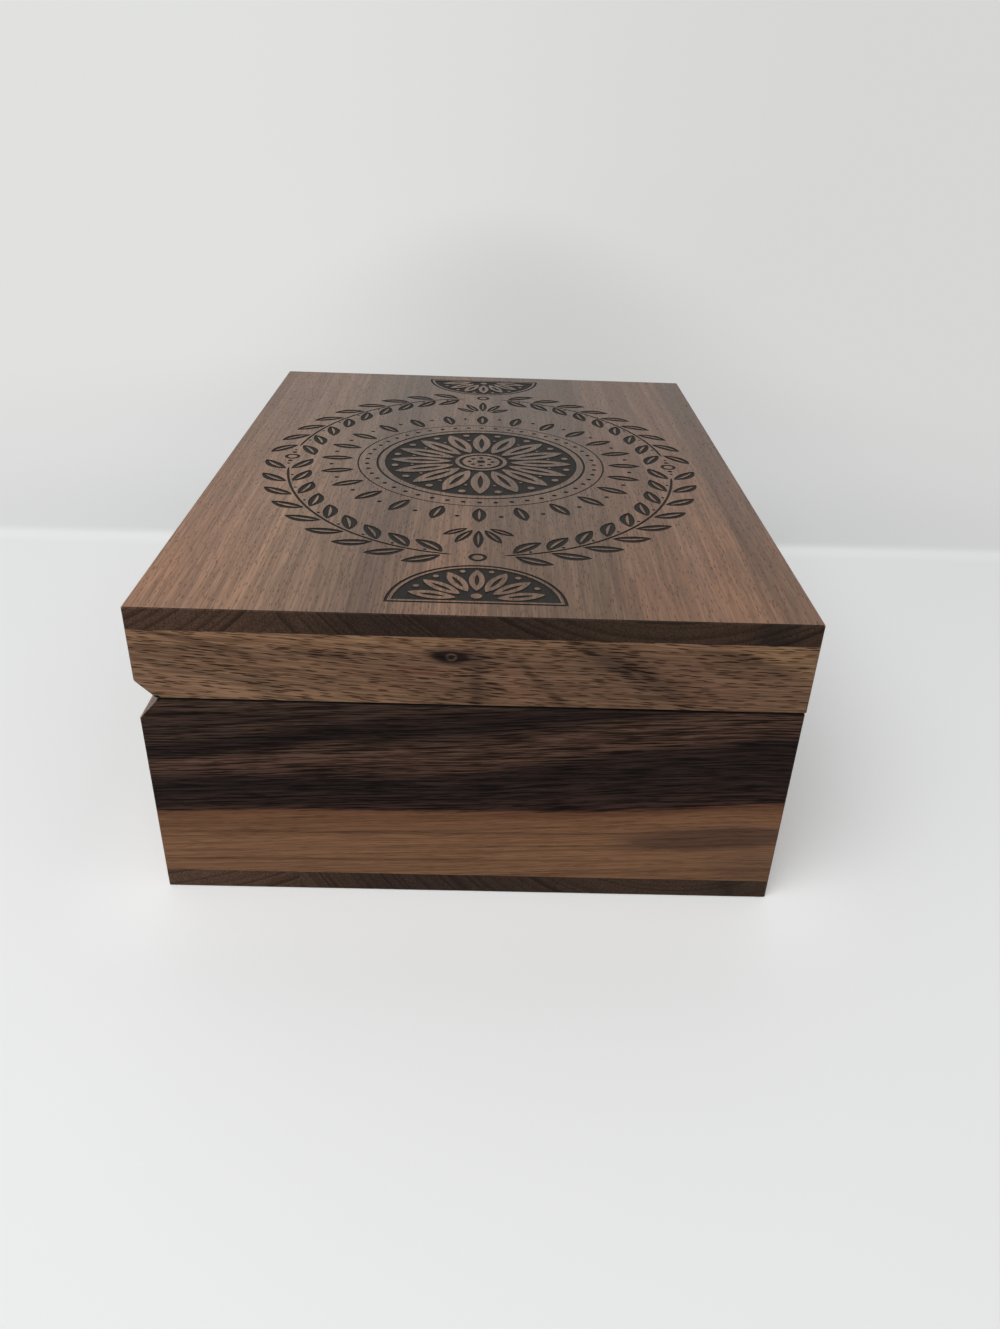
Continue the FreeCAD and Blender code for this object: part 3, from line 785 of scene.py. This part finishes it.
def makeBaseWood(side):
    look = baseWood
    material, tree, output = newMaterial("baseWalnut." + side)
    board = boardPlace(tree, side)
    parts = splitParts(tree, board)
    lines = [curveOver(tree, parts[0], look[name], 15.0, 80.0) for name in baseLines]
    wander = wanderOver(tree, board, *look["wander"])
    ragged = noise(tree, board, (9, 0.8, 3), detail=2.0).outputs[0]
    rise = calc(tree, "MULTIPLY_ADD", parts[2], 0.35, parts[1])
    rise = calc(tree, "ADD", rise, calc(tree, "MULTIPLY_ADD", ragged, 1.8, -0.9))
    over = calc(tree, "SUBTRACT", rise, lines[0])
    rise = calc(tree, "MULTIPLY_ADD", wander, spread(tree, over, 1.0, 9.0, 0.1, 1.0), rise)
    level = bandLevel(tree, rise, *lines)
    colour = rampOver(tree, level, look["bands"], look["lift"])
    colour = shadePatches(tree, board, colour, look["patches"], look["lift"])
    # painted highlight on the vee's face
    colour = mixColours(tree, paintedVeeHighlight(tree), colour, fromScreen(veeHighlight["colour"]))
    # painted shade along the seam
    colour = calcVector(tree, "SCALE", colour, scale=paintedSeamShade(tree, parts))
    # the fibre leans a little with the bands
    flow = calc(tree, "MULTIPLY_ADD", lines[2], -0.4, parts[1])
    board = joinParts(tree, parts[0], flow, parts[2])
    depths = between(tree, spread(tree, level, -0.5, 0.5), look["depths"])
    finishWood(tree, output, board, colour, look, depths)
    return material


def makeLidWood(side):
    look = lidWood
    material, tree, output = newMaterial("lidWalnut." + side)
    board = boardPlace(tree, side)
    parts = splitParts(tree, board)
    lean = curveOver(tree, parts[0], look["flow"], -5.0, 10.0)
    rise = calc(tree, "ADD", parts[1], wanderOver(tree, board, *look["wander"]))
    colour = rampOver(tree, rise, look["bands"], look["lift"])
    colour = shadePatches(tree, board, colour, look["patches"], look["lift"])
    # painted shade along the seam
    colour = calcVector(tree, "SCALE", colour, scale=paintedSeamShade(tree, parts))
    depths = between(tree, patchMask(tree, board, look["dense"]), look["depths"])
    board = joinParts(tree, parts[0], calc(tree, "SUBTRACT", parts[1], lean), parts[2])
    finishWood(tree, output, board, colour, look, depths)
    return material


def makePanelWood(name, look):
    material, tree, output = newMaterial(name)
    board = boardPlace(tree)
    parts = splitParts(tree, board)
    across = calc(tree, "ADD", parts[1], wanderOver(tree, board, *look["wander"]))
    colour = rampOver(tree, across, look["bands"], look["lift"])
    colour = shadePatches(tree, board, colour, look["patches"], look["lift"])
    # the panel is glued up from two boards, each with its own heart
    second = spread(tree, parts[1], look["joint"] - 0.05, look["joint"] + 0.05, smooth=False)
    piths = {0: second, 4: look["grain"]["Pith"], 5: look["secondPith"]}
    pith = addNode(tree, "Mix", piths, data_type="VECTOR").outputs[1]
    finishWood(tree, output, board, colour, look, {"Pith": pith})
    return material


brass = {
    "colour": (0.74, 0.55, 0.28, 1.0),
    "tarnish": (0.52, 0.36, 0.17, 1.0),
    "tarnishReach": (0.45, 0.75),
    "brushWave": (9, 0.25, 0.25),
    "brushDepth": 0.15,
    "roughness": 0.2,
}


def makeBrass():
    material, tree, output = newMaterial("hingeBrass")
    place = millimetres(tree)
    brushed = noise(tree, place, brass["brushWave"], detail=3.0).outputs[0]
    tarnish = noise(tree, place, (5, 5, 5), detail=4.0).outputs[0]
    tarnish = spread(tree, tarnish, *brass["tarnishReach"])
    rough = calc(tree, "MULTIPLY_ADD", brushed, 0.18, brass["roughness"])
    rough = calc(tree, "MULTIPLY_ADD", tarnish, 0.12, rough)
    colour = mixColours(tree, tarnish, brass["colour"], brass["tarnish"])
    values = {"Base Color": colour, "Metallic": 1.0, "Roughness": rough}
    addSurface(tree, output, values, brushed, brass["brushDepth"], 0.0001)
    return material


def makeBurnt():
    # the floor of the engraving, where the wood is burnt
    material, tree, output = newMaterial("burntWalnut")
    place = boardPlace(tree)
    fibre = noise(tree, place, (7, 0.4, 0.4), detail=3.0, roughness=0.6).outputs[0]
    patch = noise(tree, place, (30, 12, 12), detail=2.0).outputs[0]
    tone = calc(tree, "MULTIPLY_ADD", fibre, 0.9, 0.35)
    tone = calc(tree, "MULTIPLY", tone, calc(tree, "MULTIPLY_ADD", patch, 0.5, 0.8))
    colour = calcVector(tree, "SCALE", fromScreen(lidArt["burntColour"])[:3], scale=tone)
    values = {"Base Color": colour, "Roughness": 0.8, "Specular IOR Level": 0.15}
    addSurface(tree, output, values, fibre, 0.5, 0.0001)
    return material


def dress(node, *materials):
    # gives a CAD node its finish, through its object's slots
    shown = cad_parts[node]
    while len(shown.data.materials) < len(materials):
        shown.data.materials.append(None)
    for slot, material in zip(shown.material_slots, materials):
        slot.link = "OBJECT"
        slot.material = material


# engraved lid: closed outlines on the panel's top, nested so that every second one is burnt away

lidArt = {
    "depth": 0.28,
    "burntColour": (47, 44, 41),
    "ringLines": [(43.6, 0.5), (37.0, 0.8)],  # radius, width
    "beads": (40.2, 0.85, 48),  # ring radius, bead radius, count
    "discRadius": 34.0,
    "petals": 16,
    "petal": (10.5, 21.5, 6.6),  # start, length, width
    "petalVein": (14.5, 12.5, 1.9),
    "petalDots": [(30.6, 1.25, 12), (24.6, 0.6, 8)],  # ring radius, dot radius, sides
    "hubLines": (9.2, 7.8, 6.6),
    "hubDots": (4.1, 0.85, 8),  # ring radius, dot radius, count
    "hubRadius": 1.5,
    "rays": 24,
    "ray": (45.2, 11.5, 4.6),  # start, length, width
    "rayDots": (52.5, 0.8),  # ring radius, dot radius
    "spray": (59.4, 4.2, 13.0, 3.2),  # root, start, length, width
    "wreath": (82.0, 66.8),  # half its length and half its depth
    "stem": (0.07, 0.91, 0.42),  # from and to as shares of a quarter, half its width
    "wreathLeaves": 9,
    "leaf": (12.0, 4.8),  # length, width
    "leafLean": (0.62, 0.7),  # turn away from the stem, bend
    "berry": (1.35, 0.55),  # off the stem, radius
    "bosses": (2.7, 1.6),  # where two branches meet
    "bossOut": 1.2,
    "bossDots": [(4.6, 0.9, 12), (7.4, 0.6, 10)],  # to the side, radius, sides
}

endShell = {
    "radius": 24.0,
    "petals": 7,
    "inset": 7.0,
    "line": 0.9,  # width of the line round it, and of the gap next to it
    "root": 2.2,  # from the straight side to where the petals point
    "foot": 5.6,  # from there to the petals
    "clear": 5.4,  # past the petals' tips
    "fill": 1.62,  # how much of its share each petal takes
    "hub": (2.4, 1.5),  # past the root, radius
    "dots": (6.0, 0.85),  # in from the rim, radius
}


def towards(turn):
    return Vector((math.cos(turn), math.sin(turn), 0))


def ringSpot(radius, turn):
    return radius * math.cos(turn), radius * math.sin(turn)


def pick(things, kind):
    return [item for item in things if isinstance(item, kind)]


def addRound(bm, centre, radius, count=20):
    spot = Matrix.Translation((centre[0], centre[1], 0))
    bmesh.ops.create_circle(bm, cap_ends=False, radius=radius, segments=count, matrix=spot)


def addLeaf(bm, foot, turn, length, width, bend=0.0, count=20):
    # a circle drawn out to a leaf with a point at each end
    made = bmesh.ops.create_circle(bm, cap_ends=False, radius=1, segments=count)["verts"]
    for vert in made:
        along = (vert.co.x + 1) / 2
        side = vert.co.y * (0.25 + 0.75 * abs(vert.co.y)) * width / 2
        vert.co = Vector((along * length, side + bend * along * (1 - along) * 4, 0))
    spot = Matrix.Translation((foot[0], foot[1], 0)) @ Matrix.Rotation(turn, 4, "Z")
    bmesh.ops.transform(bm, matrix=spot, verts=made)


def addVeinedLeaf(bm, foot, turn, length, width, bend=0.0):
    addLeaf(bm, foot, turn, length, width, bend)
    inward = Vector((length * 0.14, bend * 0.42, 0))
    start = Vector((foot[0], foot[1], 0)) + Matrix.Rotation(turn, 3, "Z") @ inward
    addLeaf(bm, start, turn, length * 0.7, width * 0.2, bend * 0.55, 12)


def wreathPoint(share):
    angle = share * math.pi / 2
    wide, deep = lidArt["wreath"]
    spot = Vector((wide * math.cos(angle), deep * math.sin(angle), 0))
    heading = math.atan2(deep * math.cos(angle), -wide * math.sin(angle))
    return spot, heading


def addBranch(bm):
    # one quarter of the wreath, from the +x end towards +y: a stem with a leaf on each side
    made = bmesh.ops.create_circle(bm, cap_ends=False, radius=1, segments=72)["verts"]
    first, last, half = lidArt["stem"]
    for vert in made:
        spot, heading = wreathPoint(first + (last - first) / 2 * (vert.co.x + 1))
        side = max(-1, min(1, 3 * vert.co.y)) * half
        vert.co = spot + Vector((-math.sin(heading), math.cos(heading), 0)) * side
    count = lidArt["wreathLeaves"]
    length, width = lidArt["leaf"]
    lean, bend = lidArt["leafLean"]
    for step in range(count):
        spot, heading = wreathPoint(0.1 + 0.8 * step / (count - 1))
        across = Vector((-math.sin(heading), math.cos(heading), 0))
        for side in (1, -1):
            foot = spot + across * side
            addVeinedLeaf(bm, foot, heading + side * lean, length, width, side * bend)
    out, berry = lidArt["berry"]
    for step in range(count - 1):
        spot, heading = wreathPoint(0.15 + 0.8 * step / (count - 1))
        across = Vector((-math.sin(heading), math.cos(heading), 0))
        addRound(bm, spot + across * out, berry, 10)


def addShell(bm, spot, turn):
    # a burnt half round with petals left standing in it, and a line round it
    radius, petals, line = endShell["radius"], endShell["petals"], endShell["line"]
    place = Matrix.Translation(spot) @ Matrix.Rotation(turn, 4, "Z")
    for reach in (radius, radius - line, radius - 2 * line):
        made = bmesh.ops.create_circle(bm, cap_ends=False, radius=reach, segments=72)["verts"]
        for vert in made:
            vert.co.x = max(vert.co.x, (radius - reach) * 0.9)
        bmesh.ops.remove_doubles(bm, verts=made, dist=0.001)
        made = [vert for vert in made if vert.is_valid]
        bmesh.ops.transform(bm, matrix=place, verts=made)
    start = turn - math.pi / 2
    spot = spot + towards(turn) * endShell["root"]
    foot = endShell["foot"]
    reach = radius - foot - endShell["clear"]
    width = endShell["fill"] * (foot + reach / 2) * math.sin(math.pi / petals / 2)
    for step in range(petals):
        way = start + math.pi * (step + 0.5) / petals
        spoke = towards(way)
        addLeaf(bm, spot + spoke * foot, way, reach, width, count=24)
        addLeaf(bm, spot + spoke * (foot + reach * 0.22), way, reach * 0.55, width * 0.3, count=12)
    inset, dot = endShell["dots"]
    for step in range(petals - 1):
        way = start + math.pi * (step + 1) / petals
        addRound(bm, spot + towards(way) * (radius - inset), dot, 10)
    out, hub = endShell["hub"]
    addRound(bm, spot + towards(turn) * out, hub, 16)


def addMedallion(bm):
    for radius, width in lidArt["ringLines"]:
        addRound(bm, (0, 0), radius, 96)
        addRound(bm, (0, 0), radius - width, 96)
    ring, bead, count = lidArt["beads"]
    for step in range(count):
        addRound(bm, ringSpot(ring, 2 * math.pi * step / count), bead, 10)
    addRound(bm, (0, 0), lidArt["discRadius"], 96)
    petals = lidArt["petals"]
    for step in range(petals):
        turn = 2 * math.pi * step / petals
        for part, sides in (("petal", 28), ("petalVein", 16)):
            start, length, width = lidArt[part]
            addLeaf(bm, towards(turn) * start, turn, length, width, count=sides)
        turn += math.pi / petals
        for ring, dot, sides in lidArt["petalDots"]:
            addRound(bm, ringSpot(ring, turn), dot, sides)
    for radius in lidArt["hubLines"]:
        addRound(bm, (0, 0), radius, 48)
    ring, dot, count = lidArt["hubDots"]
    for step in range(count):
        addRound(bm, ringSpot(ring, 2 * math.pi * step / count), dot, 10)
    addRound(bm, (0, 0), lidArt["hubRadius"], 16)
    rays = lidArt["rays"]
    start, length, width = lidArt["ray"]
    ring, dot = lidArt["rayDots"]
    for step in range(rays):
        turn = 2 * math.pi * step / rays
        addVeinedLeaf(bm, towards(turn) * start, turn, length, width)
        addRound(bm, ringSpot(ring, turn + math.pi / rays), dot, 10)


def addEndSpray(bm):
    # five leaves between the medallion and the +x end of the wreath
    root, start, length, width = lidArt["spray"]
    for step in (-2, -1, 0, 1, 2):
        turn = math.radians(27 * step)
        foot = Vector((root, 0, 0)) + towards(turn) * start
        addVeinedLeaf(bm, foot, turn, length - 2.0 * abs(step), width)


def drawLidArt(end):
    # everything in millimetres round the lid's middle: one quarter, mirrored twice, then the rest
    bm = bmesh.new()
    addBranch(bm)
    for axis in ((1, 0, 0), (0, 1, 0)):
        copy = bmesh.ops.duplicate(bm, geom=bm.verts[:] + bm.edges[:])["geom"]
        verts = pick(copy, bmesh.types.BMVert)
        bmesh.ops.scale(bm, vec=[1 - 2 * part for part in axis], verts=verts)
    half = bmesh.new()
    addShell(half, Vector((end - endShell["inset"], 0, 0)), math.pi)
    addEndSpray(half)
    wide, deep = lidArt["wreath"]
    outer, inner = lidArt["bosses"]
    for spot in ((wide + lidArt["bossOut"], 0), (0, deep)):
        addRound(half, spot, outer, 24)
        addRound(half, spot, inner, 18)
    for side in (-1, 1):
        for out, dot, sides in lidArt["bossDots"]:
            addRound(half, (side * out, deep), dot, sides)
    kept = bpy.data.meshes.new("half")
    half.to_mesh(kept)
    half.free()
    bm.from_mesh(kept)
    kept.transform(Matrix.Rotation(math.pi, 4, "Z"))
    bm.from_mesh(kept)
    bpy.data.meshes.remove(kept)
    addMedallion(bm)
    return bm


def fillFlat(bm, edges):
    made = bmesh.ops.triangle_fill(
        bm, use_beauty=True, use_dissolve=False, edges=edges, normal=(0, 0, 1)
    )
    return made["geom"]


def makeEngravedPanel():
    # cut in millimetres, because filling between outlines needs more than a metre's digits
    lowest, highest = (corner * 1000 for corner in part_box("lid_panel"))
    middle = (lowest + highest) / 2
    art = drawLidArt(highest.x - middle.x)
    drawn = bpy.data.meshes.new("lidArt")
    art.to_mesh(drawn)
    art.free()
    drawn.transform(Matrix.Translation((middle.x, middle.y, highest.z)))
    bm = bmesh.new()
    bm.from_mesh(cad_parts["lid_panel"].data)
    bmesh.ops.scale(bm, vec=(1000, 1000, 1000), verts=bm.verts)
    bmesh.ops.remove_doubles(bm, verts=bm.verts, dist=0.01)
    top = [face for face in bm.faces if min(vert.co.z for vert in face.verts) > highest.z - 0.01]
    bmesh.ops.delete(bm, geom=top, context="FACES")
    for face in bm.faces:
        face.material_index = 1 if abs(face.normal.x) > 0.7 else 0
    rim = [edge for edge in bm.edges if edge.is_boundary]
    known = set(bm.edges)
    bm.from_mesh(drawn)
    lines = [edge for edge in bm.edges if edge not in known]
    fillFlat(bm, rim + lines)
    sunk = bmesh.ops.extrude_edge_only(bm, edges=lines)["geom"]
    walls = pick(sunk, bmesh.types.BMFace)
    lowVerts = pick(sunk, bmesh.types.BMVert)
    bmesh.ops.translate(bm, vec=(0, 0, -lidArt["depth"]), verts=lowVerts)
    floors = pick(fillFlat(bm, pick(sunk, bmesh.types.BMEdge)), bmesh.types.BMFace)
    for face in walls + floors:
        face.material_index = 2
    bmesh.ops.recalc_face_normals(bm, faces=bm.faces)
    openEdges = [edge for edge in bm.edges if not edge.is_manifold]
    print("engraved lid:", len(bm.faces), "faces,", len(openEdges), "open edges")
    bmesh.ops.scale(bm, vec=(0.001, 0.001, 0.001), verts=bm.verts)
    mesh = bpy.data.meshes.new("engraved_lid_panel")
    bm.to_mesh(mesh)
    bm.free()
    return mesh


def showPiece(name, mesh, body, node, materials):
    piece = bpy.data.objects.new(name, mesh)
    bpy.context.scene.collection.objects.link(piece)
    for material in materials:
        mesh.materials.append(material)
    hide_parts(node)
    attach(piece, body)


def makeBottomPanel():
    # the CAD panel, with its end grain told from its long grain
    bm = bmesh.new()
    bm.from_mesh(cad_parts["bottom_panel"].data)
    bmesh.ops.remove_doubles(bm, verts=bm.verts, dist=0.00001)
    for face in bm.faces:
        face.material_index = 1 if abs(face.normal.x) > 0.7 else 0
    mesh = bpy.data.meshes.new("bottom_board")
    bm.to_mesh(mesh)
    bm.free()
    return mesh


topWalnut = makePanelWood("topWalnut", topWood)
endWalnut = makePanelWood("endWalnut", endWood)
lowEndWalnut = makePanelWood("lowEndWalnut", lowEndWood)
hingeBrass = makeBrass()
for side in boxSides:
    dress("base_" + side + "_wall", makeBaseWood(side))
    dress("lid_" + side + "_rail", makeLidWood(side))
lidFinishes = [topWalnut, endWalnut, makeBurnt()]
showPiece("engraved_lid_panel", makeEngravedPanel(), "lid", "lid_panel", lidFinishes)
showPiece("bottom_board", makeBottomPanel(), "base", "bottom_panel", [topWalnut, lowEndWalnut])
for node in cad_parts:
    if "hinge" in node:
        dress(node, hingeBrass)
print("finishes made")
